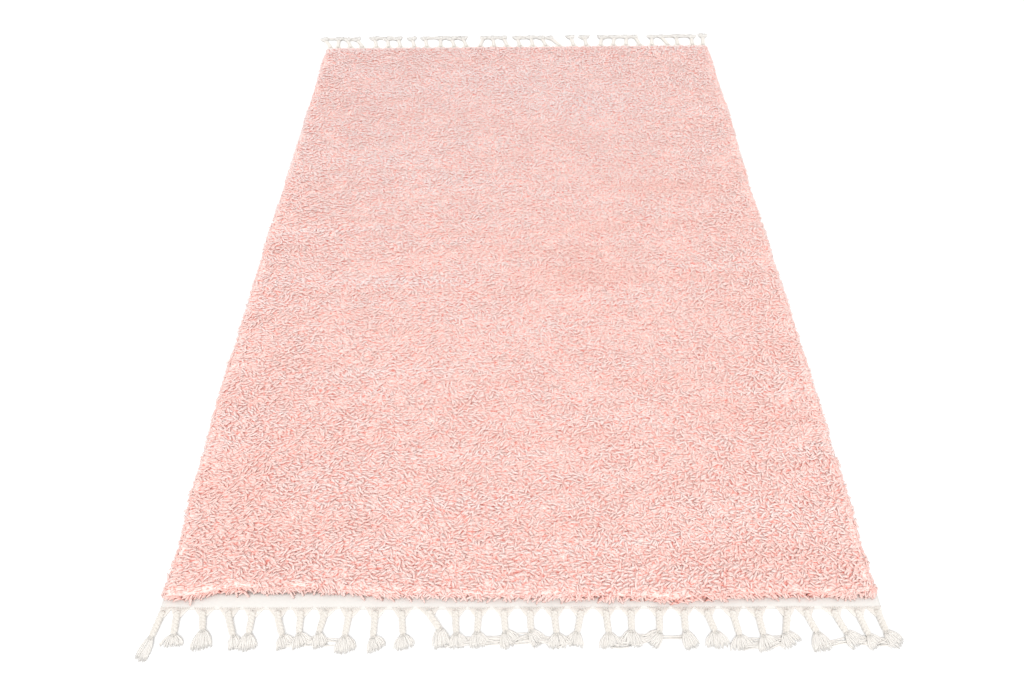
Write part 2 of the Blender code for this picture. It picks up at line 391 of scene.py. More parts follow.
class Yarn:
    """A straight yarn of radius 1 as arrays: its vertices, faces and where round it they are."""

    def __init__(self, sides, rings):
        form = bmesh.new()
        top = rings - 1
        bmesh.ops.create_cone(form, cap_ends=True, segments=sides, radius1=1, radius2=1, depth=top)
        bmesh.ops.translate(form, verts=form.verts, vec=(0, 0, top / 2))
        half_turn = Matrix.Rotation(math.pi, 3, "Z")  # puts a ridge on a 3-sided yarn's top
        bmesh.ops.rotate(form, verts=form.verts, matrix=half_turn)
        for ring in range(1, top):
            whole = form.verts[:] + form.edges[:] + form.faces[:]
            bmesh.ops.bisect_plane(form, geom=whole, plane_co=(0, 0, ring), plane_no=(0, 0, 1))
        tip = [v for v in form.verts if v.co.z > top - 0.5]
        bmesh.ops.pointmerge(form, verts=tip, merge_co=(0, 0, top))
        bmesh.ops.recalc_face_normals(form, faces=form.faces)
        self.rings, self.top = rings, top
        self.places = np.array([v.co for v in form.verts])
        self.ring = self.places[:, 2].round().astype(int)
        self.sizes = np.array([len(face.verts) for face in form.faces])
        self.corners = np.array([v.index for face in form.faces for v in face.verts])
        self.round_it = self.turns(form)
        self.triangles = int((self.sizes - 2).sum())
        form.free()

    def turns(self, form):
        """For each face's corner, how far round the yarn it is, with no face across the seam."""
        found = []
        for face in form.faces:
            middle = face.calc_center_median()
            centre = math.atan2(middle.y, middle.x) / math.tau
            for vertex in face.verts:
                if vertex.co.xy.length < NEAR_AXIS:
                    found.append(centre)
                    continue
                off = math.atan2(vertex.co.y, vertex.co.x) / math.tau - centre
                found.append(centre + (off + 0.5) % 1 - 0.5)
        return np.array(found)


print("a straight yarn can be made")

# %% [markdown]
# A finished piece may be baked to an image, so each yarn gets a place on a small chart: a column
# for its lightness and rosiness, and the height in the column for how far along it a point is.
# Yarns that look alike share a column, so lightness and rosiness go in steps.

# %% A chart for baking
LIGHT_STEPS, ROSY_STEPS = 16, 4
CHART_MARGIN, CHART_END = 0.1, 0.02  # what stays free beside a column, and at its two ends


def stepped(values, steps):
    """Values from 0 to 1, each moved to the middle of its step."""
    return (np.clip(np.floor(np.asarray(values) * steps), 0, steps - 1) + 0.5) / steps


def bake_spots(yarn, light, rosy):
    """Where each corner of each copy of the yarn lies on the chart."""
    columns = LIGHT_STEPS * ROSY_STEPS
    column = np.floor(light * LIGHT_STEPS) + LIGHT_STEPS * np.floor(rosy * ROSY_STEPS)
    turn = CHART_MARGIN + (1 - 2 * CHART_MARGIN) * (yarn.round_it % 1.0)
    u = (np.clip(column, 0, columns - 1)[:, None] + turn[None]) / columns
    v = CHART_END + (1 - 2 * CHART_END) * yarn.ring[yarn.corners] / yarn.top
    v = np.broadcast_to(v, u.shape)
    return np.stack([u, v], 2).reshape(-1, 2)


print("chart of", LIGHT_STEPS * ROSY_STEPS, "columns")

# %% [markdown]
# A skein is the yarns of one piece. They could be one object each, but tens of thousands of
# objects are slow, so they are laid one kind after another and then joined.


# %% Laying and joining yarns
class Skein:
    """Yarns laid along lines, collected to be joined into one piece."""

    def __init__(self):
        self.laid = []

    def lay(self, yarn, lines, radii, light, rosy=0.5, flat=1.0):
        """Lays a copy of the yarn along each line. lines is (copies, rings, 3) and radii the same
        without the 3, or anything that spreads to it; light and rosy are one number a copy, and
        flat is the yarn's height over its width. Nothing goes under the floor."""
        copies = len(lines)
        radii = np.broadcast_to(radii, (copies, yarn.rings))
        ahead = np.gradient(lines, axis=1)
        ahead /= np.linalg.norm(ahead, axis=2, keepdims=True) + TINY
        chord = lines[:, -1] - lines[:, 0]
        across = np.stack([-chord[:, 1], chord[:, 0], np.zeros(copies)], 1)[:, None]
        across = across - (across * ahead).sum(2, keepdims=True) * ahead
        across /= np.linalg.norm(across, axis=2, keepdims=True) + TINY
        upward = np.cross(ahead, across)
        x, y, ring = yarn.places[:, 0], yarn.places[:, 1], yarn.ring
        spread = across[:, ring] * x[None, :, None] + upward[:, ring] * (y * flat)[None, :, None]
        where = lines[:, ring] + spread * radii[:, ring, None]
        where[..., 2] = np.maximum(where[..., 2], LIFT)
        light = np.broadcast_to(stepped(light, LIGHT_STEPS), copies)
        rosy = np.broadcast_to(stepped(rosy, ROSY_STEPS), copies)
        self.laid.append((yarn, where, light, rosy))

    def triangles(self):
        return sum(yarn.triangles * len(where) for yarn, where, light, rosy in self.laid)

    def join(self, name, finish):
        """One object of all the yarns, with their numbers as attributes and a map for baking."""
        places, corners, sizes, numbers, spots = [], [], [], [], []
        start = 0
        for yarn, where, light, rosy in self.laid:
            copies, count = where.shape[:2]
            offsets = start + np.arange(copies) * count
            places.append(where.reshape(-1, 3))
            corners.append((yarn.corners[None] + offsets[:, None]).ravel())
            sizes.append(np.tile(yarn.sizes, copies))
            along = np.tile(yarn.ring / yarn.top, copies)
            numbers.append(np.stack([along, np.repeat(light, count), np.repeat(rosy, count)]))
            spots.append(bake_spots(yarn, light, rosy))
            start += copies * count
        mesh = bpy.data.meshes.new(name)
        places, corners, sizes = map(np.concatenate, (places, corners, sizes))
        mesh.vertices.add(len(places))
        mesh.vertices.foreach_set("co", places.astype(np.float32).ravel())
        mesh.loops.add(len(corners))
        mesh.loops.foreach_set("vertex_index", corners.astype(np.int32))
        mesh.polygons.add(len(sizes))
        mesh.polygons.foreach_set("loop_start", (np.cumsum(sizes) - sizes).astype(np.int32))
        mesh.update(calc_edges=True)
        along, light, rosy = np.concatenate(numbers, axis=1)
        turns = [np.tile(yarn.round_it, len(where)) for yarn, where, *_ in self.laid]
        for attribute, domain, values in (
            ("along", "POINT", along),
            ("light", "POINT", light),
            ("rosy", "POINT", rosy),
            ("round_it", "CORNER", np.concatenate(turns)),
        ):
            layer = mesh.attributes.new(attribute, "FLOAT", domain)
            layer.data.foreach_set("value", values.astype(np.float32))
        layer = mesh.uv_layers.new(name="OFBake")
        layer.uv.foreach_set("vector", np.concatenate(spots).astype(np.float32).ravel())
        mesh.shade_smooth()
        mesh.materials.append(finish.material)
        piece = bpy.data.objects.new(name, mesh)
        bpy.context.scene.collection.objects.link(piece)
        print(f"{name}: {self.triangles()} triangles")
        return piece


print("yarns can be laid and joined")

# %% [markdown]
# A shag is never even. The yarns of one patch lie one way and those of the next another, the
# pile stands a little higher here than there, and where it has been brushed it catches the light
# differently, which is painted into the yarns as painted light and painted shade. Each of these is
# a smooth random field: a sum of waves of about the wanted length, with seeded phases, so that the
# rug is the same each time.


# %% Smooth random fields
FIELD_PACES = (0.5, 1.6)  # the slowest and quickest waves against the wanted length
FIELD_PEAK = 1.6  # how far such a sum strays, in standard deviations


class Field:
    """A smooth random field over the rug, about -1 to 1, with lumps long_x by long_y metres."""

    def __init__(self, seed, long_x, long_y, waves=28):
        draw = np.random.default_rng(seed)
        turn = draw.uniform(0, math.tau, waves)
        pace = draw.uniform(*FIELD_PACES, waves)
        self.kx = math.tau / 2 / long_x * np.cos(turn) * pace
        self.ky = math.tau / 2 / long_y * np.sin(turn) * pace
        self.phase = draw.uniform(0, math.tau, waves)

    def __call__(self, x, y):
        waves = np.cos(x[:, None] * self.kx + y[:, None] * self.ky + self.phase)
        return waves.sum(1) / math.sqrt(len(self.phase) / 2) / FIELD_PEAK

    def at(self, x, y):
        """The field at one place."""
        return float(self(np.array([x]), np.array([y]))[0])


lie_broad, lie_fine = Field(11, 0.16, 0.10), Field(12, 0.035, 0.030)
stand_broad, stand_fine = Field(13, 0.14, 0.09), Field(14, 0.03, 0.025)
# painted light and painted shade, in long bands and in small spots
shade_bands, shade_fine = Field(15, 0.40, 0.035), Field(16, 0.05, 0.022)
print("six fields")

# %% [markdown]
# Some patches are plain to see on this rug, so they are listed one by one as painted light and
# painted shade: a pale brushed area near the far right, pale ones left of the middle, a darker
# hollow right of the middle, darker streaks along the right, a darker near left corner and a pale
# streak at the near right. Each is a soft round or long spot that lightens or darkens the pile.

# %% Patches of painted light and shade
Patch = namedtuple("Patch", "x y wide long amount")  # metres from the middle of the rug
PATCHES = [Patch(*row) for row in (
    (0.28, 0.70, 0.24, 0.09, 1.0), (0.02, 0.86, 0.50, 0.12, 0.5),
    (-0.35, 0.39, 0.26, 0.15, 0.5), (-0.33, -0.19, 0.26, 0.022, 0.9),
    (0.20, -0.12, 0.16, 0.12, -1.0), (0.55, 0.24, 0.24, 0.03, -0.7),
    (0.52, 0.05, 0.25, 0.05, -0.5), (0.50, -0.17, 0.22, 0.02, -0.8),
    (0.53, -0.65, 0.12, 0.05, -0.8), (-0.68, -0.92, 0.15, 0.20, -0.7),
    (0.66, -0.93, 0.20, 0.03, 0.7),
)]


# Painted light where a patch's amount is above 0, painted shade where it is below.
def painted_patch_light(x, y):
    shade = np.zeros(len(x))
    for patch in PATCHES:
        apart = ((x - patch.x) / patch.wide) ** 2 + ((y - patch.y) / patch.long) ** 2
        shade += patch.amount * np.exp(-apart)
    return shade


print(len(PATCHES), "patches")

# %% [markdown]
# Along the two long sides the outer yarns fall outwards over the edge of the cloth, and hide it.
# At the near end they do the same to the heading, but unevenly: for a stretch left of the middle
# they lie along the edge and leave the heading bare, elsewhere they hang over it.

# %% How far the pile hangs over the near heading
# Metres along the heading from its middle, and how many millimetres the pile hangs over there.
OVERHANG = (
    (-0.80, 9), (-0.74, 8), (-0.69, -3), (-0.64, -9), (-0.46, -9), (-0.38, -4), (-0.30, 4),
    (-0.10, 7), (0.15, 9), (0.30, 11), (0.35, 18), (0.42, 10), (0.60, 4), (0.75, 5), (0.80, 1),
)
OVER_X, OVER_MM = zip(*OVERHANG)


def near_line(x):
    """Where the pile's tips end at the near end, in front of or behind the cloth's end."""
    return -HALF_LENGTH - np.interp(x, OVER_X, OVER_MM) * MM


print("overhang from", min(OVER_MM), "to", max(OVER_MM), "mm")

# %% [markdown]
# Between the yarns one sees down into the pile, to where the knots sit close together. That floor
# of the pile is a lumpy surface under the yarns, streaked in the yarn's pink and painted coral as
# painted shade down between them. It is a grid, raised and dented by a field, whose border is
# extruded down to the cloth and closed with one face. It stops short of the edges, which the yarns
# cover.

# %% The floor of the pile
ROOT_INSET = 11 * MM  # from the mat's edge to the first knots
ROOT_HEIGHT, ROOT_LUMP = 19 * MM, 1.2 * MM
ROOT_COLUMNS, ROOT_ROWS = 100, 140
root_lumps = Field(17, 0.012, 0.010)


def roots_place(u, v):
    start = near_line(TAPE_LEFT + (TAPE_RIGHT - TAPE_LEFT) * u) + ROOT_INSET
    y = start + v * (HALF_LENGTH - ROOT_INSET - start)
    left, right = side_line(-1, y) + ROOT_INSET, side_line(1, y) - ROOT_INSET
    x = left + (right - left) * u
    return x, y, ROOT_HEIGHT + ROOT_LUMP * root_lumps.at(x, y)


KNOT_SCALE = 250  # lumps a metre
# The darkest stop is painted shade down between the yarns; the paler ones stand for deeper yarns.
KNOT_SHADE_RAMP = [(0.36, (0.82, 0.31, 0.26)), (0.45, (0.95, 0.60, 0.54)), (0.55, (0.97, 0.76, 0.71))]
roots_finish = Finish("pile_floor", Roughness=0.97)
knots = roots_finish.noise(KNOT_SCALE, detail=2, stretch=(0.45, 1.0, 1.0))
knot_shade_colour = roots_finish.node("ShaderNodeValToRGB", {"stops": KNOT_SHADE_RAMP}, {0: knots})
roots_finish.feed("Base Color", knot_shade_colour)
roots_finish.bump(knots, 0.6, 2 * MM)
form = bmesh.new()
bmesh.ops.create_grid(form, x_segments=ROOT_COLUMNS, y_segments=ROOT_ROWS, size=0.5)
for vertex in form.verts:
    vertex.co = roots_place(vertex.co.x + 0.5, vertex.co.y + 0.5)
rim = [edge for edge in form.edges if edge.is_boundary]
wall = bmesh.ops.extrude_edge_only(form, edges=rim)["geom"]
for vertex in [part for part in wall if isinstance(part, bmesh.types.BMVert)]:
    vertex.co.z = CLOTH_THICK + 2 * LIFT
bmesh.ops.contextual_create(form, geom=[edge for edge in form.edges if edge.is_boundary])
bmesh.ops.recalc_face_normals(form, faces=form.faces)
roots = add_object("pile_floor", form, [roots_finish])
roots.data.shade_smooth()
print("floor of the pile", len(roots.data.polygons), "faces")

# %% [markdown]
# Each pile yarn rises from its knot, bends over and lies on its neighbours, pressed down by feet
# and by its own weight. It is laid along a short curve: up out of the knot, then over to one
# side. Mostly the yarns lie across the rug, to the left or the right, and more untidily towards
# the right-hand side. Knots are set on a grid with every one moved a little by chance.

# %% Lines for the pile yarns
UP = np.array([0, 0, 1.0])
YARN_COUNT = 46500
KNOT_HEIGHT = 5 * MM
EDGE_GAP = 3 * MM  # from the pile's edge to the outermost yarns' middles
UNTIDY_LEFT, UNTIDY_MORE = 0.42, 0.34  # spread of the lie in radians, and what the right adds
LIE_FINE, LIE_BROAD = 0.55, 0.35  # how far the two fields turn a patch, in radians
BEND_OVER, BEND_UP = 0.28, 1.7  # where the curve's bend is, against its reach and rise
RING_SHARES = np.array([0.0, 0.42, 0.92, 1.0])
RING_WIDTHS = np.array([0.85, 1.0, 0.84, 0.0])
pile_yarn = Yarn(sides=3, rings=len(RING_SHARES))


def knot_places(count, seed):
    """About count places over the mat, evenly spread but not in rows."""
    draw = np.random.default_rng(seed)
    wide, long = mat_high.x - mat_low.x, 2 * HALF_LENGTH
    step = math.sqrt(wide * long / count)
    columns, rows = round(wide / step), round(long / step)
    u, v = np.meshgrid(np.arange(columns), np.arange(rows))
    u = (u.ravel() + draw.uniform(0, 1, u.size)) / columns
    v = (v.ravel() + draw.uniform(0, 1, v.size)) / rows
    y = -HALF_LENGTH + v * (2 * HALF_LENGTH - EDGE_GAP)
    left, right = side_line(-1, y) + EDGE_GAP, side_line(1, y) - EDGE_GAP
    x = left + (right - left) * u
    keep = y > near_line(x) + EDGE_GAP
    return x[keep], y[keep]


def curve_through(start, bend, end, share):
    """Points on the curves from start to end that bend draws towards itself."""
    share = share[None, :, None]
    lines = (1 - share) ** 2 * start[:, None] + 2 * share * (1 - share) * bend[:, None]
    return lines + share ** 2 * end[:, None]


def turn_of(x, y, draw):
    """Which way each yarn lies, as an angle from +X."""
    untidy = UNTIDY_LEFT + UNTIDY_MORE * np.clip((x + 0.3) / 0.8, 0, 1)
    rightward = lie_broad(x, y) + 0.5 * draw.normal(size=len(x)) > 0
    turn = lie_fine(x, y) * LIE_FINE + lie_broad(y, x) * LIE_BROAD
    turn = turn + draw.normal(size=len(x)) * untidy
    return np.where(rightward, 0.0, math.pi) + turn


def bent_lines(start, rise, reach, sag, curl, turn):
    """Each yarn's points: a curve from its knot, up by rise and over to reach, with its tip let
    down by sag and swung sideways by curl."""
    ahead = np.stack([np.cos(turn), np.sin(turn), np.zeros(len(turn))], 1)
    aside = np.stack([-np.sin(turn), np.cos(turn), np.zeros(len(turn))], 1)
    bend = start + ahead * (BEND_OVER * reach)[:, None] + UP * (BEND_UP * rise)[:, None]
    end = start + ahead * reach[:, None] + UP * (rise - sag)[:, None] + aside * curl[:, None]
    return curve_through(start, bend, end, RING_SHARES)


print("a pile yarn is", pile_yarn.triangles, "triangles")

# %% [markdown]
# Near an edge the yarns turn outwards and hang down over it, and the nearer they are, the more.
# How light a yarn is painted comes from the painted light and shade of the patches and fields,
# from painted light on the yarns that stand proud, and from chance. The rug is painted lighter and
# greyer towards its far end, as painted light, and it is rosier towards its near right corner.

# %% Grow the pile
EDGE_REACH = 24 * MM  # yarns this near an edge fall outwards
FAR_OVER = 4 * MM  # how far the pile hangs over the far heading
SIDE_PULL, END_PULL = 1.3, 0.7  # how strongly the edges turn the yarns outwards
FACING = 0.2  # a yarn whose way is less outward than this isn't held in
EDGE_SLACK = (1.5, 2.2)  # mm: how far tips stray past the edge, and the spread
ROOT_BACK = 6 * MM  # how far from the edge an inward yarn's root stays
RISE, PROUD_RISE = 15.5, 4.5  # mm: a yarn that lies low, and what a proud one adds
REACH, REACH_MORE = 16, 10  # mm
SAG_MOST, CURL = 4, 3.5  # mm


def edges_of(x, y):
    """For each side of the pile: how far inside it each place is, and the way out."""
    nowhere = np.zeros(len(x))
    yield x - side_line(-1, y), -1, nowhere
    yield side_line(1, y) - x, 1, nowhere
    yield y - near_line(x), 0, nowhere - 1
    yield HALF_LENGTH + FAR_OVER - y, 0, nowhere + 1


def grow_pile(x, y, draw):
    """The lines of the pile yarns whose middles are over these places, with their light and
    rosiness. Near an edge a yarn turns outwards, and its tip stops at the pile's edge."""
    count = len(x)
    turn = turn_of(x, y, draw)
    stand = 0.5 + 0.16 * stand_broad(x, y) + 0.12 * stand_fine(x, y)
    stand = np.clip(stand + 0.20 * draw.normal(size=count), 0, 1)
    rise = (RISE + PROUD_RISE * stand) * MM
    reach = (REACH + REACH_MORE * draw.uniform(size=count)) * MM
    sag = draw.uniform(0, SAG_MOST, count) * MM
    curl = draw.normal(size=count) * CURL * MM

    way = np.stack([np.cos(turn), np.sin(turn)], 1)
    pull = np.zeros(count)
    for inside, out_x, out_y in edges_of(x, y):
        near = np.clip(1 - inside / EDGE_REACH, 0, 1)
        way += np.stack([out_x * near * SIDE_PULL, out_y * near * END_PULL], 1)
        pull = np.maximum(pull, near)
    way /= np.linalg.norm(way, axis=1, keepdims=True)
    ahead = reach / 2
    for inside, out_x, out_y in edges_of(x, y):
        outward = way[:, 0] * out_x + way[:, 1] * out_y
        slack = (EDGE_SLACK[0] + EDGE_SLACK[1] * draw.normal(size=count)) * MM
        room = (inside + slack) / np.maximum(outward, FACING)
        ahead = np.where(outward > FACING, np.minimum(ahead, room), ahead)
        behind = np.maximum(inside - ROOT_BACK, 0) / np.maximum(-outward, FACING)
        ahead = np.where(outward < -FACING, np.maximum(ahead, reach - behind), ahead)
    turn = np.arctan2(way[:, 1], way[:, 0])
    sag = np.maximum(sag, rise * draw.uniform(0.5, 1.25, count) * pull)
    rise = rise * (1 - 0.25 * pull)

    start = np.stack([x, y, np.full(count, KNOT_HEIGHT)], 1)
    start[:, :2] += way * (ahead - reach)[:, None]
    lines = bent_lines(start, rise, reach, sag, curl, turn)
    patches = painted_patch_light(x, y)
    # Painted light towards the far end, painted light and shade from the patches and bands,
    # painted light on proud yarns, chance, and a touch more near the edges.
    light = 0.53 + 0.24 * y + 0.45 * patches + 0.16 * shade_bands(x, y) + 0.08 * shade_fine(x, y)
    light += 0.10 * draw.normal(size=count) + 0.12 * (stand - 0.5) + 0.03 * pull
    # Greyer towards the far end and in the pale patches, with their painted light; rosier to the
    # right.
    rosy = 0.50 + 0.30 * x - 0.25 * y - 0.25 * patches + 0.12 * draw.normal(size=count)
    return lines, light, rosy


print("yarns within", round(EDGE_REACH / MM), "mm of an edge turn outwards")

# %% [markdown]
# A cut edge would show the cloth, so extra yarns stand close along all four sides. All the yarns
# are then laid in five pieces from the near end to the far one, which keeps each piece light.


# %% Lay the pile yarns
def border_places(count, seed):
    """Places for the extra yarns along all four sides, close to the edge. Each is a run along the
    left side, the far end, the right side and the near end, one after the other."""
    draw = np.random.default_rng(seed)
    wide, long = mat_high.x - mat_low.x, 2 * HALF_LENGTH
    run = draw.uniform(0, 2 * (wide + long), count)
    inset = draw.uniform(*BORDER_INSET, count) * MM
    y = np.where(run < long, run, run - long - wide) - HALF_LENGTH
    last = HALF_LENGTH - BORDER_INSET[1] * MM
    y = np.clip(y, -last, last)
    on_left, on_right = run < long, (run >= long + wide) & (run < 2 * long + wide)
    x = np.where(on_left, side_line(-1, y) + inset, side_line(1, y) - inset)
    end_x = mat_low.x + CORNER_GAP + draw.uniform(0, 1, count) * (wide - 2 * CORNER_GAP)
    end_y = np.where(run < 2 * long + wide, HALF_LENGTH - inset, near_line(end_x) + inset)
    on_side = on_left | on_right
    return np.where(on_side, x, end_x), np.where(on_side, y, end_y)


PILE_PIECES = 5
BORDER_COUNT, BORDER_INSET, CORNER_GAP = 3500, (2, 12), 10 * MM  # the inset in mm
YARN_RADIUS, YARN_SPREAD, YARN_FLAT = 3.0 * MM, (0.82, 1.15), 0.48
places = knot_places(YARN_COUNT, seed=21), border_places(BORDER_COUNT, seed=23)
knots_x, knots_y = np.concatenate(places, axis=1)
draw = np.random.default_rng(22)
lines, light, rosy = grow_pile(knots_x, knots_y, draw)
thick = YARN_RADIUS * draw.uniform(*YARN_SPREAD, len(lines))
widths = thick[:, None] * RING_WIDTHS
band = ((knots_y + HALF_LENGTH) / (2 * HALF_LENGTH) * PILE_PIECES).astype(int)
band = np.clip(band, 0, PILE_PIECES - 1)
pile_pieces = []
for number in range(PILE_PIECES):
    own = band == number
    skein = Skein()
    skein.lay(pile_yarn, lines[own], widths[own], light[own], rosy[own], flat=YARN_FLAT)
    pile_pieces.append(skein.join(f"pile_{number + 1}", pile_finish))
print(len(lines), "pile yarns, up to", round(float(lines[:, :, 2].max()) / MM, 1), "mm high")

# %% [markdown]
# A heading is a narrow strip of plain weave. It is a sheet like the ground cloth, which starts
# under the pile, gets thinner towards its outer edge, and is a little wavy along that edge, where
# the warp ends pull at it.

# %% Headings
TAPE_COLUMNS, TAPE_ROWS = 200, 5
TAPE_GAP = 0.3 * MM  # between the ground cloth's end and the heading
TAPE_THINNER, TAPE_POWER = 0.8, 5  # how much thinner its outer edge is, and how suddenly
TAPE_WAVE = 0.8 * MM
tape_wave = Field(31, 0.05, 1.0)


def tape_place(toward):
    """For sheet_form: the near heading's places (toward -1) or the far one's (toward 1)."""
    inner, outer = HALF_LENGTH - TAPE_UNDER + TAPE_GAP, TAPE_EDGE - TAPE_WAVE

    def place(u, v):
        x = TAPE_LEFT + (TAPE_RIGHT - TAPE_LEFT) * u
        out = inner + (outer - inner) * v + TAPE_WAVE * tape_wave.at(x, 0.0) * v
        height = (TAPE_THICK - LIFT) * (1 - TAPE_THINNER * v ** TAPE_POWER)
        return (x, toward * out, height + LIFT)
    return place


tapes = {}
for end, toward in (("near", -1), ("far", 1)):
    form = sheet_form(TAPE_COLUMNS, TAPE_ROWS, tape_place(toward))
    tapes[end] = add_object("heading_" + end, form, [tape_finish])
    tapes[end].data.shade_smooth()
print("headings made")

# %% [markdown]
# Each tassel is made of warp ends. They are gathered from a stretch of the heading's edge into a
# three-strand plait, tied off with a thread and left open as a tuft. The tables say where each
# tassel starts, how far its plait and tuft lean to the right, and how long and wide they are, in
# millimetres, as the frame's own combs have them. Where two tufts touch, some of their yarns have
# strayed into each other, and the links say how many, by the number of the tassel on the left.

# %% Where the tassels are
Tassel = namedtuple("Tassel", "root plait_lean plait_long tuft_lean tuft_long tuft_wide")
NEAR_TASSELS = [Tassel(*row) for row in (
    (-788, -9, 58, -12, 50, 22), (-755, 6, 53, 2, 26, 38),
    (-698, 10, 44, 8, 42, 36), (-642, 24, 55, 9, 28, 20),
    (-587, 1, 51, 6, 36, 30), (-533, 22, 55, 11, 26, 30),
    (-480, 4, 51, 12, 28, 34), (-426, -8, 49, 10, 32, 24),
    (-372, -4, 56, 5, 36, 32), (-315, 1, 58, 14, 28, 32),
    (-257, 8, 54, 9, 30, 32), (-199, 30, 41, 9, 42, 28),
    (-138, 4, 51, 6, 32, 28), (-86, -3, 49, 7, 32, 32),
    (-31, 4, 47, 18, 30, 34), (27, 1, 45, 22, 30, 26),
    (80, 4, 52, 1, 32, 34), (139, -11, 49, -8, 30, 26),
    (194, 3, 51, 4, 32, 36), (249, -2, 46, -4, 34, 34),
    (311, -4, 48, -28, 25, 26), (366, -3, 46, 15, 38, 26),
    (415, 13, 48, 2, 36, 38), (472, 7, 56, 5, 32, 40),
    (527, 3, 56, 11, 30, 38), (593, -15, 50, 15, 28, 34),
    (632, 15, 50, 6, 40, 32), (694, 16, 50, 22, 27, 28),
    (746, 10, 56, 15, 24, 24), (790, 6, 48, 25, 30, 24),
)]
FAR_TASSELS = [Tassel(*row) for row in (
    (-781, -28, 54, -20, 36, 28), (-751, -4, 56, -3, 40, 24),
    (-696, -20, 52, -12, 38, 24), (-646, -28, 54, -14, 38, 30),
    (-587, -14, 57, -9, 40, 34), (-536, -10, 55, -7, 40, 34),
    (-486, -14, 56, -10, 38, 34), (-427, -13, 53, -9, 41, 34),
    (-374, -11, 56, -7, 38, 32), (-317, -4, 58, -2, 40, 40),
    (-259, -13, 55, -8, 38, 36), (-208, -14, 54, -10, 40, 36),
    (-150, 10, 56, 6, 38, 24), (-91, -6, 55, -5, 40, 28),
    (-36, -14, 57, -9, 36, 30), (18, -10, 54, -7, 40, 34),
    (72, -6, 56, -4, 38, 36), (127, -14, 55, -10, 36, 28),
    (185, -32, 53, -16, 36, 24), (244, -8, 57, -6, 38, 30),
    (298, -5, 55, -3, 40, 36), (356, 10, 54, 6, 38, 36),
    (410, 8, 56, 5, 36, 36), (464, 7, 55, 4, 38, 34),
    (522, -12, 56, -8, 36, 24), (572, 6, 54, 4, 38, 30),
    (639, -16, 56, -8, 36, 24), (680, 3, 55, 2, 40, 30),
    (742, 4, 53, 3, 40, 34), (787, 8, 56, 8, 44, 34),
)]
NEAR_LINKS = {
    3: 16, 5: 18, 6: 18, 7: 4, 11: 8, 12: 20, 13: 20, 14: 20, 15: 16, 16: 18, 18: 18, 19: 14,
    20: 5, 23: 16, 24: 16, 26: 5, 27: 18, 28: 16,
}
FAR_APART = (3, 6, 7, 11, 14, 18, 19, 20, 24, 28)
FAR_LINKS = {number: 15 for number in range(len(FAR_TASSELS) - 1) if number not in FAR_APART}
print(len(NEAR_TASSELS) + len(FAR_TASSELS), "tassels, and stray yarns in",
      len(NEAR_LINKS) + len(FAR_LINKS), "of the gaps between them")

# %% [markdown]
# A three-strand plait seen from above is three waves, each a third of a turn behind the last:
# from side to side once, and up and down twice, in the same length. That is all a plait is, so
# the strands are laid along those waves, added to the tassel's own leaning line.

# %% Plaits
PLAIT_EASE = 1.3  # above 1, a plait leans more the further it gets
PLAIT_STEPS = 21
PLAIT_FROM, PLAIT_TO = 0.06, 1.02  # where the strands start and end, as shares of the plait
PLAIT_PITCH = 22 * MM
PLAIT_SWING, PLAIT_LIFT = 4.3 * MM, 1.5 * MM
STRAND_RADIUS = 3.8 * MM
strand_yarn = Yarn(sides=6, rings=PLAIT_STEPS)


def plait_middle(tassel, toward, share):
    """The plait's middle line from its root, for shares of its length, on the floor."""
    x = tassel.root * MM + tassel.plait_lean * MM * share ** PLAIT_EASE
    out = TAPE_EDGE + tassel.plait_long * MM * share
    return np.stack([x, toward * out, np.zeros_like(x)], 1)


def plait_point(tassel, toward, share):
    return plait_middle(tassel, toward, np.array([share]))[0]


def aside_of(line):
    """The flat direction across a line, at each of its points."""
    ahead = np.gradient(line, axis=0)
    aside = np.stack([-ahead[:, 1], ahead[:, 0], np.zeros(len(line))], 1)
    return aside / np.linalg.norm(aside, axis=1, keepdims=True)


def plait_lines(tassel, toward, phase):
    """The three strands' lines and their widths, tighter and thinner at both ends."""
    share = np.linspace(PLAIT_FROM, PLAIT_TO, PLAIT_STEPS)
    middle = plait_middle(tassel, toward, share)
    aside = aside_of(middle)
    draw_in = np.interp(share, [0, 0.15, 0.85, 1.0], [0.8, 1.0, 1.0, 0.55])
    lines = []
    for strand in range(3):
        turn = math.tau * (share * tassel.plait_long * MM / PLAIT_PITCH + strand / 3) + phase
        swing = PLAIT_SWING * draw_in * np.sin(turn)
        height = STRAND_RADIUS + PLAIT_LIFT * (1 + draw_in * np.sin(2 * turn))
        lines.append(middle + aside * swing[:, None] + height[:, None] * UP)
    widths = STRAND_RADIUS * np.interp(share, [0, 0.2, 0.85, 1.0], [0.9, 1.0, 0.95, 0.75])
    return np.array(lines), widths


print("a plait is", 3 * strand_yarn.triangles, "triangles")

# %% [markdown]
# At the root, the warp ends leave the heading along a wide stretch and curve in to the plait, and
# so they form a round arch between one tassel and the next. They start inside the heading, where
# their cut ends don't show. At the plait's other end a few turns of thread tie it.

# %% Roots and ties
ROOT_YARNS, ROOT_SPREAD = 12, 23 * MM  # how many, and how far to each side they may start
ROOT_WIDTHS = np.array([1.4, 2.0, 2.3, 2.2, 1.9, 1.4]) * MM
ROOT_IN, ROOT_OUT = 9 * MM, 5 * MM  # the start inside the heading's edge, the bend outside
ROOT_FLARE, ROOT_WAIST = 1.1, 0.62  # how wide they stand at the start and at the bend
ROOT_ARCH = 2.4 * MM  # how far they rise on the way
ROOT_JOIN = 0.36  # where they meet the plait, as a share of its length
JOIN_HALF, JOIN_HEIGHT = 4.5 * MM, 4.5 * MM
TIE_TURNS, TIE_LONG, TIE_RADIUS = 3, 4.5 * MM, 0.8 * MM
TIE_WIDE, TIE_HIGH, TIE_MIDDLE = 5.4 * MM, 4.4 * MM, 5.0 * MM
root_yarn = Yarn(sides=4, rings=len(ROOT_WIDTHS))
tie_yarn = Yarn(sides=4, rings=26)


def level(count, x, y, z):
    """Points with these coordinates, each one number or a number for each point."""
    return np.stack([np.broadcast_to(value, count) for value in (x, y, z)], 1)


